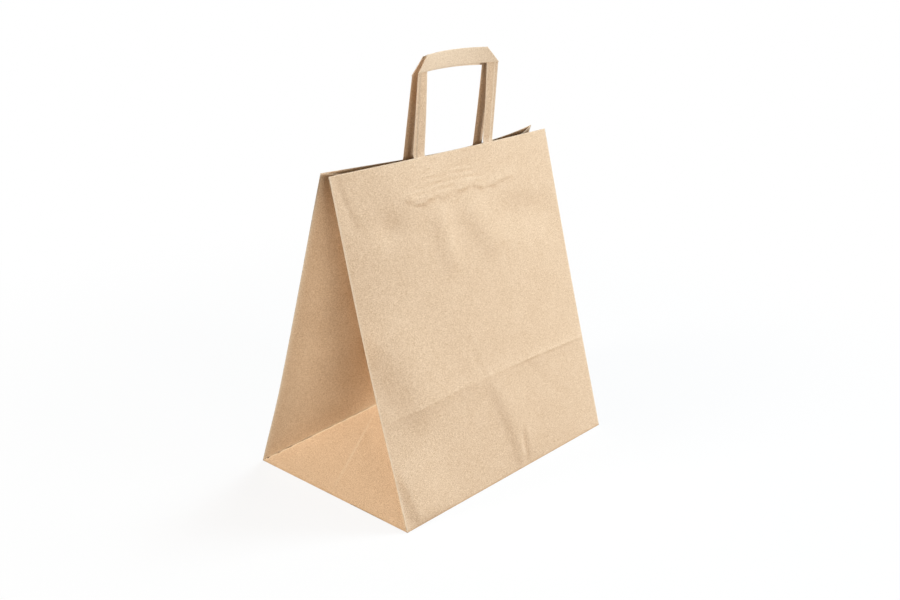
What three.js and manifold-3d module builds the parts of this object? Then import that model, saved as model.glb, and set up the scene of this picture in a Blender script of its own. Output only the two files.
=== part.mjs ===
// Kraft paper carrier bag: a gusseted sack with a block bottom and two flat strap handles.
// Millimetres, +Z up, +X along the width, -Y to the front.
// The origin is the middle of the base, on the surface that the bag stands on.

import * as THREE from 'three';
import Module from 'manifold-3d';

const wasm = await Module();
wasm.setup();

// Driving dimensions of the sack
const bagWidth = 320;
const bagDepth = 210;
const panelHeight = 342;        // along the leaning front and back panels, base to mouth
const paper = 0.15;             // one layer of the sack's sheet
const flapOverlap = 15;         // each bottom flap past the middle of the base
const seamWidth = 20;           // lap of the tube's glued seam, on the back panel
const seamFromEdge = 60;        // seam's near edge from the right edge of the back panel

// Shape of the mouth
const mouthGapLeft = 10.3;
const mouthGapRight = 18.9;
const mouthShift = 2.5;         // middle of the mouth's ends behind the middle of the base
const frontBow = 11;            // front top edge forward of its ends, at the middle
const backBow = 10.5;           // back top edge forward of its ends, at the middle
const backSkew = 0.45;          // how much more the back top edge bows on the right than at the middle
const panelBulge = 8;           // middle of a panel out from the straight line between base and mouth

// Fold line that the bag was flattened along: a ridge across the front panel, a valley across the back one
const creaseDepth = 1.2;
const creaseReach = 14;         // how far above and below the line the panel bends

// Driving dimensions of the handles
const handleWidth = 117.6;
const frontHandleHeight = 96.6; // along the strap, above the mouth
const rearHandleHeight = 97.8;
const strapWidth = 15.3;
const strapThickness = 0.5;     // folded plies of one strap
const frontLean = -3.35;        // degrees from upright, positive to the back
const rearLean = -7.4;
const frontHandleBow = 8.7;     // middle of the bar behind its ends
const rearHandleBow = 5;
const frontHandleArch = 1.9;    // middle of the bar above its ends
const rearHandleArch = 5.1;
const bendRadius = 12;          // where a strap leaves its panel at the mouth

// Driving dimensions of the patches over the strap ends
const patchSide = 30;           // patch past the outer edge of each leg
const patchHeight = 43;
const patchDrop = 2;            // top of the patch below the mouth
const patchBelow = 7;           // patch below the ends of the straps
const patchPaper = 0.15;
const patchRamp = 2.5;          // patch beside a strap, where it steps down to the panel

// Fits
const glueGap = 0.2;            // glue line between two glued pieces
const strapSideGap = 0.6;       // patch beside the edge of a strap
const bury = 0.05;              // how far one layer of the same sheet reaches into the next
const seamInset = 0.3;          // ends of the seam's lap from the ends of the panel

// Mesh density
const panelColumns = 16;
const panelSteps = 6;
const gussetSteps = 6;
const strapColumns = 2;
const bendSteps = 3;
const legSteps = 6;
const barColumns = 14;
const barRows = 2;

const half = { width: bagWidth / 2, depth: bagDepth / 2 };
const baseLift = 2.5 * paper;   // middle of the innermost base layer, over two flaps
const FRONT = -1;
const BACK = 1;

const kraft = new THREE.MeshStandardMaterial({ color: 0xd2ab7d, roughness: 0.85, metalness: 0 });
const strapKraft = new THREE.MeshStandardMaterial({ color: 0xc9a174, roughness: 0.85, metalness: 0 });
const patchKraft = new THREE.MeshStandardMaterial({ color: 0xbf9769, roughness: 0.9, metalness: 0 });

// An open surface of triangles with shared points
class Surface {
  constructor() {
    this.points = [];
    this.faces = [];
    this.known = new Map();
  }

  point(p) {
    const key = [p.x, p.y, p.z].map((n) => Math.round(n * 1e5)).join(',');
    if (!this.known.has(key)) {
      this.known.set(key, this.points.length);
      this.points.push(p);
    }
    return this.known.get(key);
  }

  triangle(a, b, c, flipped = false) {
    const face = [this.point(a), this.point(b), this.point(c)];
    this.faces.push(flipped ? face.reverse() : face);
  }

  quad(a, b, c, d, flipped = false) {
    this.triangle(a, b, c, flipped);
    this.triangle(a, c, d, flipped);
  }

  // Rows and columns of points, given as a list of rows
  grid(rows, flipped = false) {
    for (let j = 0; j + 1 < rows.length; j += 1) {
      for (let i = 0; i + 1 < rows[j].length; i += 1) {
        this.quad(rows[j][i], rows[j][i + 1], rows[j + 1][i + 1], rows[j + 1][i], flipped);
      }
    }
  }
}

// How far each point moves for its faces to move out by one: the mitre direction of its folds
function mitreDirections(surface) {
  const softness = 0.01;
  const spread = surface.points.map(() => new Array(9).fill(0));
  const sums = surface.points.map(() => new THREE.Vector3());
  for (const face of surface.faces) {
    const corners = face.map((index) => surface.points[index]);
    const normal = new THREE.Triangle(...corners).getNormal(new THREE.Vector3());
    face.forEach((index, k) => {
      const toNext = corners[(k + 1) % 3].clone().sub(corners[k]);
      const toLast = corners[(k + 2) % 3].clone().sub(corners[k]);
      const weight = toNext.angleTo(toLast);
      const n = normal.toArray();
      for (let r = 0; r < 3; r += 1) {
        for (let c = 0; c < 3; c += 1) {
          spread[index][3 * r + c] += weight * n[r] * n[c];
        }
      }
      sums[index].addScaledVector(normal, weight);
    });
  }
  return spread.map((m, index) => {
    const system = new THREE.Matrix3().set(...m);
    for (const diagonal of [0, 4, 8]) {
      system.elements[diagonal] += softness;
    }
    return sums[index].applyMatrix3(system.invert());
  });
}

// A closed sheet of the given thickness, centred on a surface
function thicken(surface, thickness) {
  const count = surface.points.length;
  const directions = mitreDirections(surface);
  const outer = surface.points.map((p, i) => p.clone().addScaledVector(directions[i], thickness / 2));
  const inner = surface.points.map((p, i) => p.clone().addScaledVector(directions[i], -thickness / 2));
  const triangles = [];
  const edges = new Set();
  for (const [a, b, c] of surface.faces) {
    triangles.push([a, b, c], [c + count, b + count, a + count]);
    for (const [from, to] of [[a, b], [b, c], [c, a]]) {
      edges.add(`${from},${to}`);
    }
  }
  for (const edge of edges) {
    const [from, to] = edge.split(',').map(Number);
    if (!edges.has(`${to},${from}`)) {
      triangles.push([to, from, from + count], [to, from + count, to + count]);
    }
  }
  return new wasm.Manifold(new wasm.Mesh({
    numProp: 3,
    vertProperties: new Float32Array([...outer, ...inner].flatMap((p) => p.toArray())),
    triVerts: new Uint32Array(triangles.flat()),
  }));
}

function piece(name, solid, material) {
  const mesh = solid.getMesh();
  const geometry = new THREE.BufferGeometry();
  geometry.setAttribute('position', new THREE.BufferAttribute(mesh.vertProperties, mesh.numProp));
  geometry.setIndex(new THREE.BufferAttribute(mesh.triVerts, 1));
  geometry.computeVertexNormals();
  const node = new THREE.Mesh(geometry, material);
  node.name = name;
  return node;
}

const mix = (a, b, t) => a + (b - a) * t;
const steps = (count) => Array.from({ length: count + 1 }, (_, i) => i / count);
const sorted = (values) => [...new Set(values)].sort((a, b) => a - b);

// Depth of a panel's top edge: its ends stand apart by the mouth's gap, and its middle is bowed forward
function mouthY(side, x) {
  const u = x / half.width;
  const gap = mix(mouthGapLeft, mouthGapRight, (u + 1) / 2);
  const bow = side === FRONT ? frontBow * (1 - Math.abs(u) ** 3) : backBow * (1 - u ** 2) * (1 + backSkew * u);
  return mouthShift + side * gap / 2 - bow;
}

// The straight line up a panel at x, and the direction square to it, into the bag.
// A bulging panel keeps its length of paper, so the line is shorter by 8/3 of bulge squared over length.
function panelLine(side, x) {
  const bulge = panelBulge * (1 - (x / half.width) ** 2);
  const length = panelHeight - 8 / 3 * bulge ** 2 / panelHeight;
  const run = mouthY(side, x) - side * half.depth;
  const rise = Math.sqrt(length ** 2 - run ** 2);
  return {
    bulge,
    length,
    along: new THREE.Vector3(0, run, rise).divideScalar(length),
    inward: new THREE.Vector3(0, -side * rise, side * run).divideScalar(length),
  };
}

// A point of a panel's middle layer, at x and a height along the paper, set in by a distance
function panelPoint(side, x, height, setIn = 0) {
  const { bulge, length, along, inward } = panelLine(side, x);
  const share = height / panelHeight;
  const nearCrease = Math.max(0, 1 - Math.abs(height - half.depth) / creaseReach);
  const crease = side * creaseDepth * nearCrease * (1 - (x / half.width) ** 4);
  return new THREE.Vector3(x, side * half.depth, baseLift)
    .addScaledVector(along, length * share)
    .addScaledVector(inward, setIn + crease - 4 * bulge * share * (1 - share));
}

// Lean of a panel's paper at the mouth, from upright, positive to the back
function mouthLean(side, x) {
  const { bulge, length, along } = panelLine(side, x);
  return Math.atan2(along.y, along.z) - side * Math.atan(4 * bulge / length);
}

const seamRight = half.width - seamFromEdge;
const seamLeft = seamRight - seamWidth;
const columns = sorted([
  ...steps(panelColumns).map((t) => mix(-half.width, half.width, t)),
  seamLeft,
  seamRight,
]);
const creaseRows = [half.depth - creaseReach, half.depth, half.depth + creaseReach];
const patchTop = panelHeight - patchDrop;
const patchBottom = patchTop - patchHeight;
const strapEnd = patchBottom + patchBelow;
const evenRows = steps(panelSteps).map((t) => t * panelHeight);
const panelRows = sorted([...evenRows, ...creaseRows, patchBottom, strapEnd, patchTop]);

// Where two circles of the XZ plane meet, on the side nearer the middle of the bag
function innerMeeting(a, radiusA, b, radiusB) {
  const between = b.clone().sub(a);
  const distance = between.length();
  const along = (distance ** 2 + radiusA ** 2 - radiusB ** 2) / (2 * distance);
  const across = Math.sqrt(radiusA ** 2 - along ** 2);
  const foot = a.clone().addScaledVector(between, along / distance);
  const square = new THREE.Vector2(-between.y, between.x).divideScalar(distance);
  const meetings = [1, -1].map((sign) => foot.clone().addScaledVector(square, sign * across));
  return meetings.sort((p, q) => Math.abs(p.x) - Math.abs(q.x))[0];
}

// Fold points of one side gusset: the apex of its lower triangle and the top of its inward crease
function gussetFolds(end) {
  const x = end * half.width;
  const tops = { [FRONT]: panelPoint(FRONT, x, panelHeight), [BACK]: panelPoint(BACK, x, panelHeight) };
  const tilts = [FRONT, BACK].map((side) => {
    const top = tops[side];
    return (panelHeight - half.depth + side * top.y) / (top.z - baseLift);
  });
  const upward = (tilts[0] + tilts[1]) / 2;
  const inset = half.depth * Math.sqrt(1 - upward ** 2);
  const apex = new THREE.Vector3(end * (half.width - inset), 0, baseLift + half.depth * upward);
  const topX = end * (half.width - half.depth);
  const topY = (mouthY(FRONT, topX) + mouthY(BACK, topX)) / 2;
  const middle = tops[FRONT].clone().add(tops[BACK]).divideScalar(2);
  const halfGap = tops[FRONT].distanceTo(tops[BACK]) / 2;
  const fromApex = Math.sqrt((panelHeight - half.depth) ** 2 - (topY - apex.y) ** 2);
  const fromMouth = Math.sqrt(half.depth ** 2 - halfGap ** 2 - (topY - middle.y) ** 2);
  const meeting = innerMeeting(
    new THREE.Vector2(apex.x, apex.z),
    fromApex,
    new THREE.Vector2(middle.x, middle.z),
    fromMouth,
  );
  return { apex, creaseTop: new THREE.Vector3(meeting.x, topY, meeting.y) };
}

// Top edge of half a gusset, from the panel's corner in to the crease, bending most near the corner
function gussetTopEdge(corner, creaseTop) {
  return steps(gussetSteps).map((t) => new THREE.Vector3(
    mix(corner.x, creaseTop.x, t),
    mix(corner.y, creaseTop.y, 1 - (1 - t) ** 2),
    mix(corner.z, creaseTop.z, t),
  ));
}

// One layer of the sack: front, back, base and both gussets, open at the mouth
function sackSurface() {
  const sack = new Surface();
  const panels = {};
  for (const side of [FRONT, BACK]) {
    panels[side] = panelRows.map((height) => columns.map((x) => panelPoint(side, x, height)));
    sack.grid(panels[side], side === BACK);
  }
  sack.grid([panels[BACK][0], panels[FRONT][0]]);
  for (const end of [-1, 1]) {
    const { apex, creaseTop } = gussetFolds(end);
    const column = end < 0 ? 0 : columns.length - 1;
    sack.triangle(panels[FRONT][0][column], apex, panels[BACK][0][column], end > 0);
    for (const side of [FRONT, BACK]) {
      const flipped = (side === BACK) !== (end > 0);
      const edge = panels[side].map((row) => row[column]);
      const top = gussetTopEdge(edge[edge.length - 1], creaseTop);
      for (let j = 0; j + 1 < edge.length; j += 1) {
        sack.triangle(edge[j], edge[j + 1], apex, flipped);
      }
      for (let k = 0; k + 1 < top.length; k += 1) {
        sack.triangle(apex, top[k], top[k + 1], flipped);
      }
    }
  }
  return sack;
}

// Bottom flap folded under from a panel: its ends are mitred by the folds that run in from the corners
function flap(side, low, high) {
  const outerY = side * (half.depth - paper);
  const innerY = -side * flapOverlap;
  const outerX = half.width - paper;
  const innerX = outerX - Math.abs(outerY - innerY);
  const level = (low + high) / 2;
  const surface = new Surface();
  surface.grid([
    [new THREE.Vector3(-outerX, outerY, level), new THREE.Vector3(outerX, outerY, level)],
    [new THREE.Vector3(-innerX, innerY, level), new THREE.Vector3(innerX, innerY, level)],
  ], side === BACK);
  return thicken(surface, high - low);
}

// Outer layer of the lap where the sheet's two edges are glued into a tube
function seam() {
  const out = 0.75 * paper;
  const rows = [seamInset, ...panelRows.slice(1, -1), panelHeight - seamInset];
  const surface = new Surface();
  surface.grid(rows.map((height) => [seamLeft, seamRight].map((x) => panelPoint(BACK, x, height, -out))), true);
  return thicken(surface, 2 * out);
}

function bagBody() {
  const frontFlap = flap(FRONT, 0, paper + bury);
  const backFlap = flap(BACK, paper, 2 * paper + bury);
  const solid = thicken(sackSurface(), paper).add(frontFlap).add(backFlap).add(seam());
  return piece('bag_body', solid, kraft);
}

const handles = {
  [FRONT]: {
    height: frontHandleHeight,
    lean: THREE.MathUtils.degToRad(frontLean),
    bow: frontHandleBow,
    arch: frontHandleArch,
  },
  [BACK]: {
    height: rearHandleHeight,
    lean: THREE.MathUtils.degToRad(rearLean),
    bow: rearHandleBow,
    arch: rearHandleArch,
  },
};
const strapSetIn = paper / 2 + glueGap + strapThickness / 2;
const halfHandle = handleWidth / 2;

// Length of strap that bends from the lean of its panel to the lean of its handle
function bendLength(side, x) {
  return bendRadius * Math.abs(handles[side].lean - mouthLean(side, x));
}

// A point of a handle's strap at x, a height along the strap from the mouth, set in from the strap's middle.
// The bow and the arch grow with the square of the height, and a bowed bar draws its ends together.
function handlePoint(side, x, height, setIn) {
  if (height <= 0) {
    return panelPoint(side, x, panelHeight + height, strapSetIn + setIn);
  }
  const shape = handles[side];
  const start = mouthLean(side, x);
  const length = bendLength(side, x);
  const bent = Math.min(height, length);
  const turn = (shape.lean - start) / length;
  const lean = start + turn * bent;
  const y = (Math.cos(start) - Math.cos(lean)) / turn + Math.sin(lean) * (height - bent);
  const z = (Math.sin(lean) - Math.sin(start)) / turn + Math.cos(lean) * (height - bent);
  const rise = (height / shape.height) ** 2;
  const middle = (1 - (x / halfHandle) ** 2) * rise;
  const drawn = -8 / 3 * x * (shape.bow * rise / handleWidth) ** 2;
  const inward = new THREE.Vector3(0, -side * Math.cos(lean), side * Math.sin(lean));
  return panelPoint(side, x, panelHeight, strapSetIn)
    .add(new THREE.Vector3(drawn, y + shape.bow * middle, z + shape.arch * middle))
    .addScaledVector(inward, setIn);
}

// One leg: its top is cut along the fold that turns the strap into the bar
function leg(side, outerX, innerX) {
  const surface = new Surface();
  const xs = steps(strapColumns).map((t) => mix(outerX, innerX, t));
  const topOf = (x) => handles[side].height - Math.abs(x - innerX);
  const tail = panelRows.filter((row) => row >= strapEnd && row < panelHeight).map((row) => row - panelHeight);
  const heightsAt = (x) => {
    const bend = bendLength(side, x);
    const inBend = steps(bendSteps).map((t) => bend * t);
    const above = steps(legSteps).slice(1).map((t) => mix(bend, topOf(x), t));
    return [...tail, ...inBend, ...above];
  };
  const stacks = xs.map((x) => heightsAt(x).map((height) => handlePoint(side, x, height, 0)));
  const rows = stacks[0].map((_, j) => stacks.map((stack) => stack[j]));
  surface.grid(rows, (side === BACK) !== (outerX > innerX));
  return thicken(surface, strapThickness);
}

// The bar across the top, one strap thickness outside the legs, with its ends cut along the same folds
function bar(side) {
  const surface = new Surface();
  const rows = steps(barRows).map((v) => steps(barColumns).map((u) => {
    const x = mix(-1, 1, u) * (halfHandle - v * strapWidth);
    return handlePoint(side, x, handles[side].height - (1 - v) * strapWidth, bury - strapThickness);
  }));
  surface.grid(rows, side === BACK);
  return thicken(surface, strapThickness);
}

function handle(name, side) {
  const solid = bar(side)
    .add(leg(side, -halfHandle, strapWidth - halfHandle))
    .add(leg(side, halfHandle, halfHandle - strapWidth));
  return piece(name, solid, strapKraft);
}

// Patch over the strap ends: it lies on the panel and steps over each strap
function patch(name, side) {
  const overStrap = strapThickness + glueGap;
  const lift = new Map();
  for (const [low, high] of [[-halfHandle, strapWidth - halfHandle], [halfHandle - strapWidth, halfHandle]]) {
    lift.set(low - strapSideGap - patchRamp, 0);
    lift.set(low - strapSideGap, overStrap);
    lift.set(high + strapSideGap, overStrap);
    lift.set(high + strapSideGap + patchRamp, 0);
  }
  const stops = sorted([...lift.keys()]);
  const liftAt = (x) => {
    const next = stops.findIndex((stop) => stop >= x);
    if (next <= 0) {
      return 0;
    }
    const [low, high] = [stops[next - 1], stops[next]];
    return mix(lift.get(low), lift.get(high), (x - low) / (high - low));
  };
  const edge = halfHandle + patchSide;
  const between = columns.filter((x) => Math.abs(x) < edge);
  const xs = sorted([-edge, edge, ...stops, ...between]);
  const rows = panelRows.filter((row) => row >= patchBottom && row <= patchTop);
  const setIn = paper / 2 + glueGap + patchPaper / 2;
  const surface = new Surface();
  surface.grid(
    rows.map((height) => xs.map((x) => panelPoint(side, x, height, setIn + liftAt(x)))),
    side === BACK,
  );
  return piece(name, thicken(surface, patchPaper), patchKraft);
}

const bag = new THREE.Group();
bag.add(
  bagBody(),
  handle('front_handle', FRONT),
  handle('rear_handle', BACK),
  patch('front_handle_patch', FRONT),
  patch('rear_handle_patch', BACK),
);

export default bag;
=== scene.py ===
"""Looks of a brown paper carrier bag: folded sack, strap handles, glued patches, camera and studio.

Metres, +Z up, +X along the bag's width, -Y to the front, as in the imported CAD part.
"""

import math

import bmesh
import bpy
import numpy as np
from bpy.props import FloatProperty, FloatVectorProperty, PointerProperty
from mathutils import Matrix, Vector


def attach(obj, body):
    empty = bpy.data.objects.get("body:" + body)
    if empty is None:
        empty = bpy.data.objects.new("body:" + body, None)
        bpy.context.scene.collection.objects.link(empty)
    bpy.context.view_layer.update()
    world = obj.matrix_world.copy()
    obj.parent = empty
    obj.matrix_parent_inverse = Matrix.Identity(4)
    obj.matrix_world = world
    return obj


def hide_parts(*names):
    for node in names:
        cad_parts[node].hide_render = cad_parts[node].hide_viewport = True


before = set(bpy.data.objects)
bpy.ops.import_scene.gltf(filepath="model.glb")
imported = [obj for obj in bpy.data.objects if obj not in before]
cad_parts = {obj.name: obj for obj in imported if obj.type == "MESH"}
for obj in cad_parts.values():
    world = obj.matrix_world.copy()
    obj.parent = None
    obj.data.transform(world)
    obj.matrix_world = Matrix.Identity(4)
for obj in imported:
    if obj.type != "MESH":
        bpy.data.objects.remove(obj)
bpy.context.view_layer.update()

bl_info = {
    "name": "Paper carrier bag",
    "version": (1, 0, 0),
    "blender": (4, 5, 0),
    "location": "3D View > Sidebar > Paper bag",
    "description": "Builds a brown paper carrier bag with flat strap handles",
    "category": "Add Mesh",
}

MM = 0.001
FRONT = -1
BACK = 1
LEFT = -1
RIGHT = 1
BODY = "root"
WHITE = (1, 1, 1)
SENSOR_WIDTH = 36


# Sizes and colours that a user may change


def length(name, millimetres, description):
    """A length property, written in millimetres and kept in metres."""
    metres = millimetres * MM
    return FloatProperty(name=name, description=description, default=metres, unit="LENGTH", precision=5)


def position(name, millimetres, description):
    """A point property, written in millimetres and kept in metres."""
    metres = [value * MM for value in millimetres]
    return FloatVectorProperty(
        name=name, description=description, default=metres, unit="LENGTH", subtype="XYZ", precision=5
    )


def angle(name, degrees, description):
    """An angle property, written in degrees and kept in radians."""
    return FloatProperty(name=name, description=description, default=math.radians(degrees), unit="ROTATION")


def share(name, value, description):
    """A plain number property."""
    return FloatProperty(name=name, description=description, default=value)


def colour(name, value, description):
    """A colour property, in linear light."""
    return FloatVectorProperty(
        name=name, description=description, default=value, subtype="COLOR", min=0, max=1
    )


class SackSizes(bpy.types.PropertyGroup):
    """Sizes of the folded sack"""

    width: length("Width", 320, "Width of the front and back panels")
    depth: length("Depth", 210, "Depth of the base, which is the width of a side gusset")
    panel_height: length("Panel height", 342, "Height along the leaning panels, base to mouth")
    paper: length("Paper", 0.15, "Thickness of one layer")
    mouth_gap_left: length("Mouth gap, left", 10.3, "Mouth's opening at its left end")
    mouth_gap_right: length("Mouth gap, right", 18.9, "Mouth's opening at its right end")
    mouth_shift: length("Mouth shift", 2.5, "Middle of the mouth's ends behind the middle of the base")
    front_bow: length("Front bow", 11, "Front top edge forward of its ends, at the middle")
    back_bow: length("Back bow", 10.5, "Back top edge forward of its ends, at the middle")
    back_skew: share("Back skew", 0.45, "Extra bow of the back top edge to the right, as a share")
    panel_bulge: length("Panel bulge", 8, "Middle of a panel out from the line between base and mouth")
    edge_draw_left: length("Edge draw, left", 3.3, "Left edges of the panels drawn in by the gusset")
    edge_draw_right: length("Edge draw, right", 1, "Right edges of the panels drawn in by the gusset")
    gusset_bulge: length("Gusset bulge", 5, "Rear half of a gusset out from its flat, at its middle")
    crease_depth: length("Crease depth", 0.75, "Height of the bend that the bag was flattened along")
    crease_line: length("Crease line", 0.65, "Height of the pressed line along that bend")
    crease_reach: length("Crease reach", 14, "How far above and below that line the panel bends")
    crease_rise: length("Crease rise", 7, "Middle of the front panel's fold line above its ends")
    flap_overlap: length("Flap overlap", 15, "Each bottom flap past the middle of the base")
    seam_width: length("Seam width", 20, "Lap of the glued seam on the back panel")
    seam_from_edge: length("Seam from edge", 60, "Seam's near edge from the right edge of the back panel")
    fold_radius: length("Fold radius", 0.45, "Rounding of the folds")


class HandleSizes(bpy.types.PropertyGroup):
    """Sizes of the two strap handles"""

    width: length("Width", 117.6, "Width over the legs of a handle")
    front_height: length("Front height", 96.6, "Front handle above the mouth, along its strap")
    rear_height: length("Rear height", 97.8, "Rear handle above the mouth, along its strap")
    strap_width: length("Strap width", 15.3, "Width of the strap")
    strap_thickness: length("Strap thickness", 0.5, "Folded plies of a strap")
    front_lean: angle("Front lean", -3.35, "Front handle from upright, positive to the back")
    rear_lean: angle("Rear lean", -7.4, "Rear handle from upright, positive to the back")
    front_bow: length("Front bow", 8.7, "Middle of the front bar behind its ends")
    rear_bow: length("Rear bow", 5, "Middle of the rear bar behind its ends")
    front_arch: length("Front arch", 1.9, "Middle of the front bar above its ends")
    rear_arch: length("Rear arch", 5.1, "Middle of the rear bar above its ends")
    bend_radius: length("Bend radius", 12, "Where a strap leaves its panel at the mouth")
    lap_place: share("Lap place", 0.27, "Edge of the outer ply across a leg, from its outer side")
    lap_height: length("Lap height", 0.28, "Thickness of the outer ply")
    # a painted highlight along the strap's rims and along the edge of its outer ply
    rim_painted_highlight: share("Pale edges", 0.55, "How worn the strap's rims and the edge of its outer ply are")
    # a painted highlight that makes the bar paler than the legs
    bar_painted_highlight: share("Pale bar", 0.4, "How much paler the bar is than the legs")


class PatchSizes(bpy.types.PropertyGroup):
    """Sizes of the patches over the strap ends"""

    side: length("Side", 30, "Patch past the outer edge of each leg")
    height: length("Height", 43, "Height of a patch")
    drop: length("Drop", 2, "Top of a patch below the mouth")
    below: length("Below", 7, "Patch below the ends of the straps")
    paper: length("Paper", 0.15, "Thickness of a patch")
    ramp: length("Ramp", 2.5, "Patch beside a strap, where it steps down to the panel")
    glue: length("Glue", 0.2, "Glue line between two pieces")


class PaperLook(bpy.types.PropertyGroup):
    """Colours and grain of the paper"""

    light: colour("Light fibre", (0.94, 0.745, 0.552), "Palest fibres of the sheet")
    dark: colour("Dark fibre", (0.61, 0.42, 0.252), "Brownest fibres of the sheet")
    # painted highlight: the pale colour that stands in for the light caught along folds, strap rims and the
    # strap's bar
    painted_highlight: colour("Worn fold", (0.98, 0.88, 0.72), "Fibres that stand up along a fold")
    # painted shade: the brown that stands in for the contact shade along the edges that the bag stands on
    painted_shade: colour("Rubbed fold", (0.6, 0.37, 0.17), "Soiled fibres along the edges that the bag stands on")
    fibre_size: length("Fibre size", 0.62, "Size of the grain")
    cloud_size: length("Cloud size", 24, "Size of the soft clouds in the sheet")


class StudioLook(bpy.types.PropertyGroup):
    """Camera and light"""

    azimuth: angle("Azimuth", -49.21, "Camera's direction round the bag, from the front")
    elevation: angle("Elevation", 19.919, "Camera's height above the horizon")
    roll: angle("Roll", -1.37, "Camera's turn about its own axis")
    distance: length("Distance", 1201.19, "Camera from its target")
    target: position("Target", (8.353, -6.049, 165.887), "Point that the camera looks at")
    lens: FloatProperty(
        name="Lens", description="Focal length on a 36 mm sensor", default=45.556, unit="CAMERA"
    )
    sky_level: share("Sky level", 0.03, "Brightness of the light from all round")
    sky_colour: colour("Sky colour", (1, 0.8, 0.6), "Colour of the light from all round")
    key_level: share("Key level", 0.53, "Brightness of a white sheet that faces the key lamp")
    key_azimuth: angle("Key azimuth", 18, "Key lamp from the front, positive to the right")
    key_elevation: angle("Key elevation", 6, "Key lamp above the horizon")
    key_colour: colour("Key colour", (1, 0.985, 0.955), "Colour of the key lamp")
    top_level: share("Top level", 0.8, "Brightness of a white sheet that faces the top lamp")
    top_azimuth: angle("Top azimuth", 72, "Top lamp from the front, positive to the right")
    top_elevation: angle("Top elevation", 64, "Top lamp above the horizon")
    top_colour: colour("Top colour", (0.76, 0.9, 1), "Colour of the top lamp")
    fill_level: share("Fill level", 0.22, "Brightness of a white sheet that faces the fill lamp")
    fill_azimuth: angle("Fill azimuth", -20, "Fill lamp from the front, positive to the right")
    fill_elevation: angle("Fill elevation", 12, "Fill lamp above the horizon")
    fill_colour: colour("Fill colour", (1, 0.86, 0.72), "Colour of the fill lamp")
    side_level: share("Side level", 0.73, "Brightness of a white sheet that faces the side lamp")
    side_azimuth: angle("Side azimuth", -109, "Side lamp from the front, positive to the right")
    side_elevation: angle("Side elevation", 16, "Side lamp above the horizon")
    side_colour: colour("Side colour", (1, 0.885, 0.75), "Colour of the side lamp")
    lamp_distance: length("Lamp distance", 2800, "Lamps from the middle of the bag")
    lamp_size: length("Lamp size", 800, "Width of the square lamps")
    lamp_aim: length("Lamp aim", 180, "Height of the point over the base's middle that the lamps face")
    floor: colour("Floor", (0.16, 0.16, 0.16), "Floor, in the light that it throws back")
    shadow: share("Shadow", 0.12, "How much of the floor's own shading shows round the bag")


class BagSettings(bpy.types.PropertyGroup):
    """All the settings of the bag"""

    sack: PointerProperty(type=SackSizes)
    handle: PointerProperty(type=HandleSizes)
    patch: PointerProperty(type=PatchSizes)
    look: PointerProperty(type=PaperLook)
    studio: PointerProperty(type=StudioLook)


# Shader maths


class Value:
    """A shader socket that holds a number: arithmetic on it adds Math nodes."""

    def __init__(self, tree, socket):
        self.tree = tree
        self.socket = socket

    def _math(self, operation, first, second):
        node = self.tree.nodes.new("ShaderNodeMath")
        node.operation = operation
        for slot, item in zip(node.inputs, (first, second)):
            feed(self.tree, slot, item)
        return Value(self.tree, node.outputs[0])

    def __add__(self, other):
        return self._math("ADD", self, other)

    __radd__ = __add__

    def __sub__(self, other):
        return self._math("SUBTRACT", self, other)

    def __rsub__(self, other):
        return self._math("SUBTRACT", other, self)

    def __mul__(self, other):
        return self._math("MULTIPLY", self, other)

    __rmul__ = __mul__


def feed(tree, slot, item):
    """Links a socket to an input, or sets the input to a plain value."""
    if isinstance(item, Value):
        tree.links.new(item.socket, slot)
    else:
        slot.default_value = item


class Shader:
    """A node tree: one method adds any node, and another mixes colours with it."""

    def __init__(self, tree):
        self.tree = tree
        tree.nodes.clear()

    def add(self, kind, settings=None, inputs=None, output=0):
        """Adds a node: its settings first, then the values or links of its inputs. Gives one output."""
        node = self.tree.nodes.new(kind)
        for name, item in (settings or {}).items():
            setattr(node, name, item)
        for name, item in (inputs or {}).items():
            feed(self.tree, node.inputs[name], item)
        return Value(self.tree, node.outputs[output]) if node.outputs else node

    def blend(self, factor, first, second):
        """Mixes two colours, each a link or a plain colour."""
        colours = [item if isinstance(item, Value) else (*item, 1) for item in (first, second)]
        # a Mix node's factor is input 0, and its colours are inputs 6 and 7 and output 2
        inputs = {0: factor, 6: colours[0], 7: colours[1]}
        return self.add("ShaderNodeMix", {"data_type": "RGBA", "clamp_factor": True}, inputs, 2)


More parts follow.
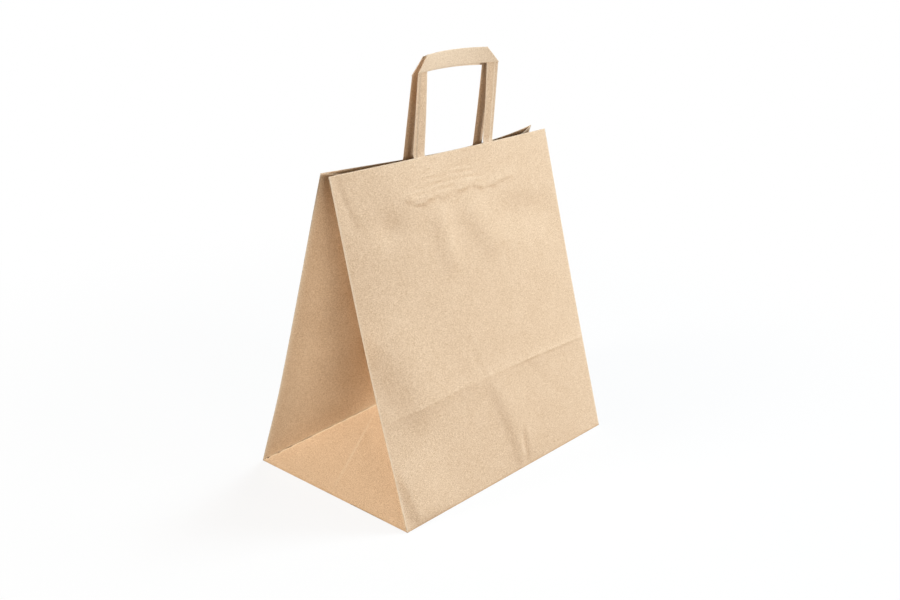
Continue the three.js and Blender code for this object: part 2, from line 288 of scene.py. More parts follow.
def paper_material(name, look):
    """Matt brown paper: fine fibres, soft clouds, sparse specks and a fibrous bump.

    The attribute fold is above 0 where a pale highlight is painted along a fold, a strap's rims or its bar,
    and below 0 where brown shade is painted along the edges that the bag stands on.
    """
    material = bpy.data.materials.new(name)
    material.use_nodes = True
    shader = Shader(material.node_tree)
    place = shader.add("ShaderNodeTexCoord", output="Object")

    def noise(size, detail, roughness=0.5):
        inputs = {"Vector": place, "Scale": 1 / size, "Detail": detail, "Roughness": roughness}
        return shader.add("ShaderNodeTexNoise", inputs=inputs)

    fibre = noise(look.fibre_size, 2.0, 0.6)
    felt = noise(look.fibre_size * 4, 2.0)
    cloud = noise(look.cloud_size, 3.0)
    speck_inputs = {"Vector": place, "Scale": 1 / (look.fibre_size * 6.5)}
    speck = shader.add("ShaderNodeTexVoronoi", {"feature": "F1"}, speck_inputs, "Distance")
    rare = shader.add(
        "ShaderNodeMapRange",
        {"clamp": True},
        {"Value": speck, "From Min": 0.05, "From Max": 0.11, "To Min": 1.0, "To Max": 0.0},
    )
    tone = 0.5 + (fibre - 0.5) * 6 + (felt - 0.5) * 0.2 + (cloud - 0.5) * 0.3 - rare * 0.3
    sheet = shader.blend(tone, look.dark, look.light)
    fold = shader.add("ShaderNodeAttribute", {"attribute_name": "fold"}, output="Fac")
    # paints a pale highlight along folds, strap rims and the strap's bar
    painted_highlight = shader.blend(fold * (0.4 + fibre * 0.6), sheet, look.painted_highlight)
    # paints brown shade along the edges that the bag stands on
    base = shader.blend(fold * (-0.4 - fibre * 0.5), painted_highlight, look.painted_shade)
    relief = fibre * 0.6 + felt * 0.4
    bump = shader.add("ShaderNodeBump", inputs={"Strength": 0.22, "Distance": 0.4 * MM, "Height": relief})
    surface = shader.add(
        "ShaderNodeBsdfPrincipled",
        inputs={
            "Base Color": base,
            "Roughness": 0.62 + fibre * 0.2,
            "Normal": bump,
            "Specular IOR Level": 0.45,
        },
    )
    shader.add("ShaderNodeOutputMaterial", inputs={"Surface": surface})
    return material


# Grids and meshes


def crowded(low, high, coarse, fine, places, reach):
    """Grid lines from low to high: fine steps at the places, growing evenly to coarse steps at reach."""
    sample = np.linspace(low, high, 6001)
    nearest = np.min(np.abs(sample[:, None] - np.array(places)), axis=1)
    step = fine + (coarse - fine) * np.clip(nearest / reach, 0, 1)
    count = np.concatenate([[0], np.cumsum(np.diff(sample) / step[1:])])
    return np.interp(np.linspace(0, count[-1], math.ceil(count[-1]) + 1), count, sample)


class Sheet:
    """Collects grids of points into one mesh whose shared edges are joined."""

    def __init__(self):
        self.points = []
        self.faces = []
        self.painted_light = []
        self.count = 0

    def grid(self, points, flipped=False, painted_light=0.0):
        """Adds rows and columns of points as quads, and how much light or shade is painted at each point."""
        rows, columns = points.shape[:2]
        index = self.count + np.arange(rows * columns).reshape(rows, columns)
        corners = [index[:-1, :-1], index[:-1, 1:], index[1:, 1:], index[1:, :-1]]
        quads = np.stack(corners, axis=-1).reshape(-1, 4)
        self.faces.append(quads[:, ::-1] if flipped else quads)
        self.points.append(points.reshape(-1, 3))
        self.painted_light.append(np.broadcast_to(painted_light, (rows, columns)).reshape(-1))
        self.count += rows * columns

    def build(self, name, material):
        """Makes the object, with its place in its mesh."""
        mesh = bpy.data.meshes.new(name)
        mesh.from_pydata(np.concatenate(self.points).tolist(), [], np.concatenate(self.faces).tolist())
        # the attribute fold carries the painted highlights and the painted shade
        painted_light = mesh.attributes.new("fold", "FLOAT", "POINT")
        painted_light.data.foreach_set("value", np.concatenate(self.painted_light).astype(np.float32))
        joined = bmesh.new()
        joined.from_mesh(mesh)
        bmesh.ops.remove_doubles(joined, verts=joined.verts, dist=0.01 * MM)
        joined.to_mesh(mesh)
        joined.free()
        mesh.shade_smooth()
        mesh.materials.append(material)
        piece = bpy.data.objects.new(name, mesh)
        bpy.context.scene.collection.objects.link(piece)
        return piece


def thicken(piece, thickness, offset):
    """Gives a sheet its thickness: offset -1 grows it inwards and 0 both ways."""
    solid = piece.modifiers.new("Paper thickness", "SOLIDIFY")
    solid.thickness = thickness
    solid.offset = offset
    return piece


def round_folds(piece, radius):
    """Rounds the sharp folds of a sheet."""
    bevel = piece.modifiers.new("Rounded folds", "BEVEL")
    bevel.width = radius
    bevel.segments = 3
    bevel.limit_method = "ANGLE"
    bevel.angle_limit = math.radians(32)
    return piece


def settle(piece, node):
    """Ties a finished piece to the part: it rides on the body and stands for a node."""
    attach(piece, BODY)
    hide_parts(node)


def painted_light_near(*distances):
    """Painted light along a fold: full on the nearest fold line and gone about two millimetres from it."""
    nearest = np.minimum.reduce(np.broadcast_arrays(*distances))
    return np.exp(-((nearest / (1.1 * MM)) ** 2))


# Marks in the paper, in millimetres over a panel: x along its width and h up from the base


def smooth_step(value, start, end):
    """From 0 at start to 1 at end, level at both."""
    t = np.clip((value - start) / (end - start), 0, 1)
    return t * t * (3 - 2 * t)


def path_offset(x, h, path):
    """Offset from a path of straight stretches, positive on its right hand, and the share of it walked."""
    lengths = [math.dist(a, b) for a, b in zip(path, path[1:])]
    offset = np.full(np.broadcast(x, h).shape, np.inf)
    walked = np.zeros_like(offset)
    before = 0
    for (ax, ah), (bx, bh), stretch in zip(path, path[1:], lengths):
        run, rise = (bx - ax) / stretch, (bh - ah) / stretch
        along = np.clip((x - ax) * run + (h - ah) * rise, 0, stretch)
        away = np.hypot(x - ax - along * run, h - ah - along * rise)
        hand = np.where((x - ax) * rise > (h - ah) * run, 1, -1)
        nearer = away < np.abs(offset)
        offset = np.where(nearer, hand * away, offset)
        walked = np.where(nearer, (before + along) / sum(lengths), walked)
        before += stretch
    return offset, walked


def path_mark(x, h, path, reaches, depth, soft):
    """A mark along a path: full depth on it, gone at its left and right reach, and fading at both ends.

    A soft mark is a rounded swell across the path, any other a sharp fold.
    """
    offset, walked = path_offset(x, h, path)
    near = np.clip(1 - np.where(offset < 0, -offset / reaches[0], offset / reaches[1]), 0, 1)
    ends = smooth_step(walked, 0, 0.25) * smooth_step(walked, 1, 0.75)
    return depth * ends * (smooth_step(near, 0, 1) if soft else near)


def dent_mark(x, h, centre, size, depth):
    """A soft hollow: depth at its centre, fading as a bell over its size."""
    return depth * np.exp(-(((x - centre[0]) / size[0]) ** 2) - ((h - centre[1]) / size[1]) ** 2)


def wave_marks(x, h, seed, height):
    """Slow waves of a handled sheet: a sum of sines whose lengths, turns and phases a seed chooses.

    The sum is divided by the root of their number, so that the height stays about the same for any number.
    """
    chosen = np.random.RandomState(seed)
    waves = np.zeros(np.broadcast(x, h).shape)
    count, shortest, longest = 14, 55, 150
    for _ in range(count):
        wave = chosen.uniform(shortest, longest)
        turn = chosen.uniform(0, math.pi)
        phase = chosen.uniform(0, 2 * math.pi)
        waves += np.sin(2 * math.pi * (x * math.cos(turn) + h * math.sin(turn)) / wave + phase)
    return height * waves / math.sqrt(count)


# Sharp folds of the front panel, walked upwards or to the right:
# path, left and right reach, depth into the bag
FRONT_FOLDS = (
    # wrinkles along the lower edge of the handle patch
    (((-76, 297), (-55, 296)), (2.5, 2.5), 0.5),
    (((-58, 299), (-36, 300)), (2.5, 2.5), 0.6),
    (((25, 297), (49, 297)), (3, 3), 0.6),
    # the dented corner at the upper left
    (((-135, 276), (-144, 296), (-150, 320), (-155, 360)), (14, 5), 1.4),
    # a line that runs down to the fold, the kink in the lower edge and the small bump beside it
    (((-22, 108), (-31, 134), (-42, 164)), (6, 3.5), 0.85),
    (((26, -14), (25, 20), (22, 46)), (8, 6), 2.4),
    (((10, 4), (14, 15), (20, 17), (27, 3)), (3, 3), -0.7),
    # the crushed corner at the lower left
    (((-134, -30), (-144, 12), (-152, 44), (-160, 70)), (12, 56), -4.6),
    # a faint diagonal and two short ticks
    (((32, 121), (70, 82), (128, 32)), (4, 4), 0.75),
    (((-60, 93), (-69, 111)), (3, 3), 0.6),
    (((-43, 42), (-51, 73)), (4, 4), 0.6),
)

# Soft ridges and hollows of the front panel, written in the same way
FRONT_SWELLS = (
    # the ridge from the fold down to the kink
    (((27, -12), (13, 42), (1, 75), (-17, 120)), (17, 45), -2.8),
    # ridges that hang from the patch under the handle's legs, and the hollow to their right
    (((-36, 218), (-40, 258), (-44, 298)), (20, 18), -2.0),
    (((34, 224), (14, 260), (-6, 298)), (26, 30), -2.8),
    (((36, 268), (160, 254)), (26, 42), 3.0),
    # a soft ridge beside the left edge
    (((-100, 84), (-118, 132), (-138, 170), (-158, 204)), (34, 60), -4.0),
)

# A hollow at the lower left corner of the handle patch: centre, size, depth into the bag
PATCH_CORNER = ((-107, 281), (17, 14), 2.9)

# Lower edge of the handle patch as it shows on the front: x and h of its corners
PATCH_EDGE = (
    (-90, 303),
    (-73, 300),
    (-71, 296),
    (-57, 295),
    (-55, 298),
    (-38, 299),
    (-36, 296),
    (12, 302),
    (17, 299),
    (28, 296),
    (46, 296),
    (52, 299),
    (74, 300),
)


def patch_press(x, h):
    """The handle patch showing through the front, out of the bag.

    A lip of uneven height along its lower edge rises steeply and fades upwards, fine level ripples lie above
    the lip, and a low shoulder stands over the patch's left end.
    """
    lip_height, ripple_height, shoulder_height = 1.7, 0.48, 1.5
    above = h - np.interp(x, *zip(*PATCH_EDGE))
    across = smooth_step(x, -96, -78) * smooth_step(x, 84, 66)
    uneven = 0.7 + 0.25 * np.sin(x / 4.1 + 2.4) + 0.2 * np.sin(x / 9.7 + 1.2)
    fading = np.clip(1 - (above - 4) / 10, 0, 1)
    lip = lip_height * across * uneven * smooth_step(above, -1, 4) * fading
    rippled = smooth_step(above, 4, 10) * smooth_step(x, -88, -60) * smooth_step(x, 55, 15)
    waving = np.sin(h + 1.3 * np.sin(x / 23)) * (0.6 + 0.4 * np.sin(x / 7 + h / 5))
    shoulder = smooth_step(x, -122, -94) * smooth_step(x, 20, -94) * smooth_step(h, 275, 318)
    return lip + ripple_height * rippled * waving + shoulder_height * shoulder


def front_marks(x, h):
    """Handling marks of the front panel, in millimetres into the bag."""
    marks = dent_mark(x, h, *PATCH_CORNER) - patch_press(x, h)
    for soft, rows in ((False, FRONT_FOLDS), (True, FRONT_SWELLS)):
        for path, reaches, depth in rows:
            marks = marks + path_mark(x, h, path, reaches, depth, soft)
    return marks


# Shape of the sack


def base_lift(sack):
    """Outer face of the base's inner layer above the ground, over the two bottom flaps."""
    return 2.5 * sack.paper


def mouth_y(sack, side, x):
    """Depth of a panel's top edge: half the gap from the mouth's middle, less a bow that fades out.

    The front's bow falls with the cube of the way out, and the back's with its square and a skew.
    """
    u = 2 * x / sack.width
    gap = sack.mouth_gap_left + (sack.mouth_gap_right - sack.mouth_gap_left) * (u + 1) / 2
    if side == FRONT:
        bow = sack.front_bow * (1 - np.abs(u) ** 3)
    else:
        bow = sack.back_bow * (1 - u**2) * (1 + sack.back_skew * u)
    return sack.mouth_shift + side * gap / 2 - bow


def panel_line(sack, side, x):
    """The straight line up a panel at x: its bulge, its length, its direction and the direction into the bag.

    A bulging panel keeps its length of paper, so the line is shorter by 8/3 of bulge squared over height.
    """
    bulge = sack.panel_bulge * (1 - (2 * x / sack.width) ** 2)
    line = sack.panel_height - 8 / 3 * bulge**2 / sack.panel_height
    run = mouth_y(sack, side, x) - side * sack.depth / 2
    rise = np.sqrt(line**2 - run**2)
    level = np.zeros_like(x)
    along = np.stack([level, run, rise], axis=-1) / line[..., None]
    inward = np.stack([level, -side * rise, side * run], axis=-1) / line[..., None]
    return bulge, line, along, inward


def panel_marks(sack, side, x, height):
    """How far the fold line and the handling marks press a panel in, fading to nothing at its edges."""
    u = 2 * x / sack.width
    v = 2 * height / sack.panel_height - 1
    rise = sack.crease_rise * (1 - u**2) if side == FRONT else 0
    from_crease = np.abs(height - sack.depth / 2 - rise)
    broad = sack.crease_depth * np.clip(1 - from_crease / sack.crease_reach, 0, 1)
    line_reach = 2.6 * MM
    sharp = sack.crease_line * np.clip(1 - from_crease / line_reach, 0, 1)
    if side == FRONT:
        # the front's line is firm to the right and nearly lost left of its middle
        firm = 0.5 + 0.7 * smooth_step(x, 5 * MM, 45 * MM)
        faint = 0.35 * np.exp(-(((x + 25 * MM) / (30 * MM)) ** 2))
        sharp = sharp * (firm - faint)
    crease = side * (broad + sharp) * (1 - u**24)
    held = (1 - u**24) * (1 - np.abs(v) ** 24)
    marks = wave_marks(x / MM, height / MM, seed=7 + side, height=0.2)
    if side == FRONT:
        marks = marks + front_marks(x / MM, height / MM)
    return crease + MM * marks * held


def edge_draw(sack, side, x, part):
    """How far the gussets draw a panel's edges in, growing with the square of the way out.

    It is most half-way up the front and at the fold line of the back, and falls on a rounded curve to nothing
    at the base and the mouth.
    """
    u = 2 * x / sack.width
    peak = 0.5 if side == FRONT else sack.depth / 2 / sack.panel_height
    up = np.where(part < peak, part / peak, (1 - part) / (1 - peak))
    most = np.where(u < 0, sack.edge_draw_left, sack.edge_draw_right)
    return most * u**2 * np.sin(up * math.pi / 2) ** 1.5


def panel_point(sack, side, x, height, set_in=0.0):
    """A point of a panel: up its line by a share of the height, out by the bulge and in by the marks."""
    x, height = np.broadcast_arrays(np.asarray(x, float), np.asarray(height, float))
    bulge, line, along, inward = panel_line(sack, side, x)
    part = height / sack.panel_height
    pressed = set_in + panel_marks(sack, side, x, height) + edge_draw(sack, side, x, part)
    pressed = pressed - 4 * bulge * part * (1 - part)
    edge_y, edge_z = side * sack.depth / 2, base_lift(sack)
    foot = np.stack([x, np.full_like(x, edge_y), np.full_like(x, edge_z)], axis=-1)
    return foot + along * (line * part)[..., None] + inward * pressed[..., None]


def mouth_lean(sack, side, x):
    """Lean of a panel's paper at the mouth, from upright, positive to the back."""
    bulge, line, along, _ = panel_line(sack, side, x)
    return np.arctan2(along[..., 1], along[..., 2]) - side * np.arctan(4 * bulge / line)


def inner_meeting(a, radius_a, b, radius_b):
    """Where two circles of the XZ plane meet, on the side nearer the middle of the bag."""
    between = b - a
    distance = np.hypot(*between)
    along = (distance**2 + radius_a**2 - radius_b**2) / (2 * distance)
    across = math.sqrt(radius_a**2 - along**2)
    foot = a + between * along / distance
    square = np.array([-between[1], between[0]]) / distance
    return min((foot + square * across, foot - square * across), key=lambda p: abs(p[0]))


def gusset_folds(sack, end):
    """Fold points of a side gusset: the apex of its lower triangle and the top of its inward crease.

    Both keep the paper's lengths: the apex lies half the depth from both corners' folds, and the crease's
    top is where the lengths from the apex and from the mouth's corners meet.
    """
    half_width, half_depth, height = sack.width / 2, sack.depth / 2, sack.panel_height
    lift = base_lift(sack)
    sides = (FRONT, BACK)
    tops = [panel_point(sack, side, end * half_width, height) for side in sides]
    tilts = [(height - half_depth + side * top[1]) / (top[2] - lift) for side, top in zip(sides, tops)]
    upward = sum(tilts) / 2
    inset = half_depth * math.sqrt(1 - upward**2)
    apex = np.array([end * (half_width - inset), 0, lift + half_depth * upward])
    top_x = end * (half_width - half_depth)
    top_y = (mouth_y(sack, FRONT, top_x) + mouth_y(sack, BACK, top_x)) / 2
    middle = (tops[0] + tops[1]) / 2
    half_gap = np.linalg.norm(tops[0] - tops[1]) / 2
    from_apex = math.sqrt((height - half_depth) ** 2 - (top_y - apex[1]) ** 2)
    from_mouth = math.sqrt(half_depth**2 - half_gap**2 - (top_y - middle[1]) ** 2)
    x, z = inner_meeting(apex[[0, 2]], from_apex, middle[[0, 2]], from_mouth)
    return apex, np.array([x, top_y, z])


def relaxed(points, rounds):
    """Softens the bends of a grid: each inner point goes to the mean of its neighbours, again and again."""
    points = points.copy()
    for _ in range(rounds):
        points[1:-1, 1:-1] = (
            points[:-2, 1:-1] + points[2:, 1:-1] + points[1:-1, :-2] + points[1:-1, 2:]
        ) / 4
    return points


def grid_normals(points):
    """Unit normals of a grid of points, from the directions of its rows and columns."""
    normals = np.cross(np.gradient(points, axis=1), np.gradient(points, axis=0))
    return normals / np.maximum(np.linalg.norm(normals, axis=-1, keepdims=True), 1e-12)


def gusset_half(sack, end, side, insets, parts):
    """Half a side gusset: a fan of straight lines from the apex out to the panel's edge and to the top edge.

    The paper is a trapezium: inset from the panel's edge, and a part of the way from the slanting lower fold
    to the top. The top edge runs from the corner to the crease's top, bending most near the corner. Slow
    waves stand on it, and the rear half bulges out: as a half sine across, and evenly but for its ends.
    """
    half_depth, height = sack.depth / 2, sack.panel_height
    apex, crease_top = gusset_folds(sack, end)
    corner = panel_point(sack, side, end * sack.width / 2, height)
    inset = np.broadcast_to(insets, (len(parts), len(insets)))
    level = inset + (height - inset) * parts[:, None]
    reach = np.maximum((half_depth - inset) / half_depth, (level - half_depth) / (height - half_depth))
    reach = np.maximum(reach, 1e-9)
    rim_inset = half_depth - (half_depth - inset) / reach
    rim_level = half_depth + (level - half_depth) / reach
    at_edge = panel_point(sack, side, end * sack.width / 2, np.clip(rim_level, 0, height))
    t = np.clip(rim_inset / half_depth, 0, 1)[..., None]
    eased = np.concatenate([t, 1 - (1 - t) ** 2, t], axis=-1)
    at_top = corner + (crease_top - corner) * eased
    rim = np.where((rim_inset < 1e-6)[..., None], at_edge, at_top)
    points = relaxed(apex + (rim - apex) * reach[..., None], rounds=45)
    from_folds = np.minimum(inset, half_depth - inset)
    held = np.clip(from_folds / (20 * MM), 0, 1) * (4 * parts * (1 - parts))[:, None]
    waves = MM * held * wave_marks(inset / MM, level / MM, seed=20 + 2 * end + side, height=0.6)
    out_by = sack.gusset_bulge if side == BACK else 0
    bulge = out_by * np.sin(math.pi * inset / half_depth) * (1 - (2 * parts - 1) ** 4)[:, None]
    normals = grid_normals(points)
    outward = -side * normals * np.sign(normals[..., 1:2])
    return points + outward * (waves + bulge)[..., None]


def lower_triangle(sack, end, insets, across):
    """Lower triangle of a gusset: rows from the front fold to the back fold, closing at the apex.

    The gusset's own crease shows as a faint ridge up its middle.
    """
    apex, _ = gusset_folds(sack, end)
    corners = [panel_point(sack, side, end * sack.width / 2, 0) for side in (FRONT, BACK)]
    part = (insets / (sack.depth / 2))[:, None, None]
    front, back = (corner + (apex - corner) * part for corner in corners)
    w = across[None, :, None]
    points = front + (back - front) * w
    outward = np.array([end * (apex[2] - corners[0][2]), 0, end * (end * sack.width / 2 - apex[0])])
    outward /= np.linalg.norm(outward)
    ridge_height, ridge_reach = 0.9 * MM, 3.5 * MM
    from_middle = np.abs(w - 0.5) * sack.depth * (1 - part)
    fading = (1 - part) * np.clip(part * 8, 0, 1)
    ridge = ridge_height * np.clip(1 - from_middle / ridge_reach, 0, 1) * fading
    return points + outward * ridge


def panel_rows(sack):
    """Heights of the sack's rows: crowded at the base, the fold line, the patch's wrinkles and the mouth."""
    crease = sack.depth / 2 + sack.crease_rise * np.linspace(-0.3, 1.3, 5)
    places = [0, 4 * MM, *crease, sack.panel_height]
    places += [sack.panel_height - down * MM for down in range(20, 51, 6)]
    return crowded(0, sack.panel_height, 4.6 * MM, 1.3 * MM, places, 15 * MM)


def panel_columns(sack):
    """Positions of the sack's columns: crowded at its edges and at the kink in the front's lower edge."""
    half_width = sack.width / 2
    kink = [14 * MM, 20 * MM, 26 * MM]
    places = [-half_width, 8 * MM - half_width, *kink, half_width]
    return crowded(-half_width, half_width, 3.7 * MM, 1.25 * MM, places, 18 * MM)


def sack_sheet(sack):
    """The sack's one folded sheet: two panels, the base and two gussets, open at the mouth.

    Folds that stand free get a painted pale highlight, and those along the ground get painted brown shade.
    """
    half_width, half_depth, height = sack.width / 2, sack.depth / 2, sack.panel_height
    rows, columns = panel_rows(sack), panel_columns(sack)
    insets = crowded(0, half_depth, 6 * MM, 1.2 * MM, [0, half_depth], 22 * MM)
    across = crowded(0, 1, 0.03, 0.008, [0, 0.5, 1], 0.1)
    sheet = Sheet()
    x, h = np.meshgrid(columns, rows)
    for side in (FRONT, BACK):
        # painted highlight along the panel's side folds, and painted shade along its foot
        painted_light = painted_light_near(half_width - np.abs(x)) - painted_light_near(h)
        sheet.grid(panel_point(sack, side, x, h), side == BACK, painted_light)
    edges = [panel_point(sack, side, columns, 0) for side in (FRONT, BACK)]
    floor = edges[0] + (edges[1] - edges[0]) * across[:, None, None]
    from_panels = sack.depth * np.minimum(across, 1 - across)[:, None]
    # painted shade along the base's edges, where it meets the ground
    sheet.grid(floor, True, -painted_light_near(half_width - np.abs(columns), from_panels))
    for end in (LEFT, RIGHT):
        for side in (FRONT, BACK):
            half = gusset_half(sack, end, side, insets, rows / height)
            fold_away = (height - insets) * (rows / height)[:, None] / math.sqrt(2)
            # painted highlight along the gusset's folds
            painted_light = painted_light_near(insets, half_depth - insets, fold_away)
            sheet.grid(half, (side == FRONT) == (end == LEFT), painted_light)
        triangle = lower_triangle(sack, end, insets, across)
        reach = 2 * (half_depth - insets[:, None])
        to_fold = reach * np.minimum(across, 1 - across) / math.sqrt(2)
        to_middle = reach * np.abs(across - 0.5)
        faint = 0.5 * np.sin(math.pi * insets[:, None] / half_depth)
        # painted highlight along the triangle's slanting folds and, fainter, up its middle crease, and
        # painted shade along its foot
        painted_light = painted_light_near(to_fold) + faint * painted_light_near(to_middle) - painted_light_near(insets[:, None])
        sheet.grid(triangle, end == RIGHT, painted_light)
    return sheet


def flap_grid(sack, side, level):
    """A bottom flap: from its panel's lower edge to past the base's middle, its ends mitred at 45 degrees."""
    outer_y = side * (sack.depth / 2 - sack.paper)
    inner_y = -side * sack.flap_overlap
    outer_x = sack.width / 2 - sack.paper
    part = np.linspace(0, 1, 25)[:, None]
    along = np.linspace(-1, 1, 61)[None, :]
    y = outer_y + (inner_y - outer_y) * part
    x = along * (outer_x - np.abs(outer_y - y))
    return np.stack([x, np.broadcast_to(y, x.shape), np.full_like(x, level)], axis=-1)


def seam_grid(sack):
    """The seam's outer lap: a strip of the back panel, set out by one layer and its glue at its cut edge.

    Its other side runs out into the panel, because there the outer layer is the panel itself.
    """
    right = sack.width / 2 - sack.seam_from_edge
    left = right - sack.seam_width
    x, h = np.meshgrid(np.linspace(left, right, 21), panel_rows(sack)[1:-1])
    out_by = sack.paper * (1.8 * smooth_step(x, left, left + 6 * MM) - 0.2)
    return panel_point(sack, BACK, x, h, -out_by)


# Shape of the handles and the patches


def handle_size(handle, side, name):
    """A size that the front and the rear handle each have."""
    return getattr(handle, ("front_" if side == FRONT else "rear_") + name)


def handle_point(settings, side, x, height, set_in):
    """A point of a strap at x and a height along it from the mouth, set in towards the bag's inside.

    Below the mouth it lies on the panel. Above it bends on an arc to the handle's lean and then runs
    straight; the bar's bow and arch grow with the square of the height, and a bowed bar draws its ends
    together.
    """
    sack, handle = settings.sack, settings.handle
    tall, lean_to, bow, arch = (
        handle_size(handle, side, name) for name in ("height", "lean", "bow", "arch")
    )
    glued = sack.paper / 2 + settings.patch.glue + handle.strap_thickness / 2
    on_panel = panel_point(sack, side, x, sack.panel_height + np.minimum(height, 0), glued + set_in)
    above = np.maximum(height, 0)
    start = mouth_lean(sack, side, x)
    bend = handle.bend_radius * np.abs(lean_to - start)
    bent = np.minimum(above, bend)
    turn = (lean_to - start) / bend
    lean = start + turn * bent
    y = (np.cos(start) - np.cos(lean)) / turn + np.sin(lean) * (above - bent)
    z = (np.sin(lean) - np.sin(start)) / turn + np.cos(lean) * (above - bent)
    rise = (above / tall) ** 2
    middle = (1 - (2 * x / handle.width) ** 2) * rise
    drawn = -8 / 3 * x * (bow * rise / handle.width) ** 2
    inward = np.stack([np.zeros_like(x), -side * np.cos(lean), side * np.sin(lean)], axis=-1)
    risen = np.stack([drawn, y + bow * middle, z + arch * middle], axis=-1) + inward * set_in[..., None]
    foot = panel_point(sack, side, x, sack.panel_height, glued)
    return np.where((height <= 0)[..., None], on_panel, foot + risen)


def strap_profile(handle):
    """Section of a strap, once round: place across it from 0 to 1, height over its middle, and painted
    highlight.

    The outer face of a leg has a step where its outer ply ends. The rims and that step get a painted
    highlight.
    """
    high = handle.strap_thickness / 2
    low = high - handle.lap_height
    # shares of the strap's width: the step, its half width, the rounded rim and the start of a flat face
    lap, step, rim, face = handle.lap_place, 0.004, 0.008, 0.03
    below_step = np.linspace(face, lap - step, 4)
    above_step = np.linspace(lap + step, 1 - face, 8)
    under = np.linspace(1 - face, face, 9)
    runs = (
        ((0, rim), (0, 0.6 * low), (1, 1)),
        (below_step, np.full(4, low), (1, 0, 0, 1)),
        (above_step, np.full(8, high), (1, 0, 0, 0, 0, 0, 0, 1)),
        ((1 - rim, 1, 1 - rim), (0.6 * high, 0, -0.6 * high), (1, 1, 0)),
        (under, np.full(9, -high), (0, 0, 0, 0, 0, 0, 0, 0, 1)),
        ((rim,), (-0.6 * high,), (0,)),
    )
    return (np.concatenate(column) for column in zip(*runs))


def strap_points(settings, side):
    """One strap from end to end and its painted light: its section carried up a leg, along the bar and down.

    Each row is a line across the strap. At a corner the section turns half round the diagonal, on a radius
    that is half the distance between the leg and the bar, so that the bar lies outside the legs.
    """
    handle, patch = settings.handle, settings.patch
    tall = handle_size(handle, side, "height")
    half, strap = handle.width / 2, handle.strap_width
    apart = 1.2 * handle.strap_thickness
    tail = -(patch.drop + patch.height - patch.below)
    place, over, painted_highlight = strap_profile(handle)
    top = tall - strap * (1 - place)
    leg = crowded(0, 1, 0.022, 0.008, [-tail / (tall - tail), 1], 0.1)[:, None]
    turn = np.linspace(0, math.pi, 9)[1:-1, None]
    bar = np.linspace(0, 1, 61)[:, None]
    on_leg, on_turn, on_bar = (np.ones_like(stretch) for stretch in (leg, turn, bar))
    left = strap * place - half
    up = tail + (top - tail) * leg
    x = np.concatenate([left * on_leg, left * on_turn, left * (1 - 2 * bar), -left * on_turn, -left * on_leg])
    height = np.concatenate([up, top * on_turn, top * on_bar, top * on_turn, up[::-1]])
    folded = np.concatenate([0 * leg, turn, math.pi * on_bar, turn[::-1], 0 * leg]) * np.ones_like(place)
    radius = apart / 2 - over
    past = radius * np.sin(folded) / math.sqrt(2)
    set_in = radius * np.cos(folded) - apart / 2
    points = handle_point(settings, side, x + np.sign(x) * past, height + past, set_in)
    # painted highlight on the rims and on the step of the outer ply, and a painted highlight that makes the
    # whole bar paler than the legs
    painted_light = np.maximum(handle.rim_painted_highlight * painted_highlight, handle.bar_painted_highlight * folded / math.pi)
    return points, painted_light


def strap_object(settings, name, side, material):
    """A strap as a closed tube of its section, with both ends capped."""
    points, painted_light = strap_points(settings, side)
    sheet = Sheet()
    once_round = np.append(np.arange(points.shape[1]), 0)
    sheet.grid(points[:, once_round], side == FRONT, painted_light[:, once_round])
    piece = sheet.build(name, material)
    joined = bmesh.new()
    joined.from_mesh(piece.data)
    bmesh.ops.holes_fill(joined, edges=joined.edges, sides=0)
    bmesh.ops.recalc_face_normals(joined, faces=joined.faces)
    joined.to_mesh(piece.data)
    joined.free()
    return piece


def patch_grid(settings, side):
    """A patch on the inside of a panel: it steps over each strap on a short ramp."""
    sack, handle, patch = settings.sack, settings.handle, settings.patch
    half, strap = handle.width / 2, handle.strap_width
    edge = half + patch.side
    beside = 0.6 * MM
    top = sack.panel_height - patch.drop
    strap_edges = [half, half - strap, -half, strap - half]
    x, h = np.meshgrid(
        crowded(-edge, edge, 4 * MM, 0.6 * MM, strap_edges, 10 * MM),
        np.linspace(top - patch.height, top, 31),
    )
    from_strap = np.abs(np.abs(x) - (half - strap / 2)) - strap / 2 - beside
    lift = (handle.strap_thickness + patch.glue) * np.clip(1 - from_strap / patch.ramp, 0, 1)
    return panel_point(sack, side, x, h, sack.paper / 2 + patch.glue + patch.paper / 2 + lift)


# Stage


def seen_rays(shader):
    """One for rays that show the background: from the camera, in a reflection or through a clear thing."""
    camera, glossy, clear = (
        shader.add("ShaderNodeLightPath", output=name)
        for name in ("Is Camera Ray", "Is Glossy Ray", "Is Transmission Ray")
    )
    return camera + glossy + clear


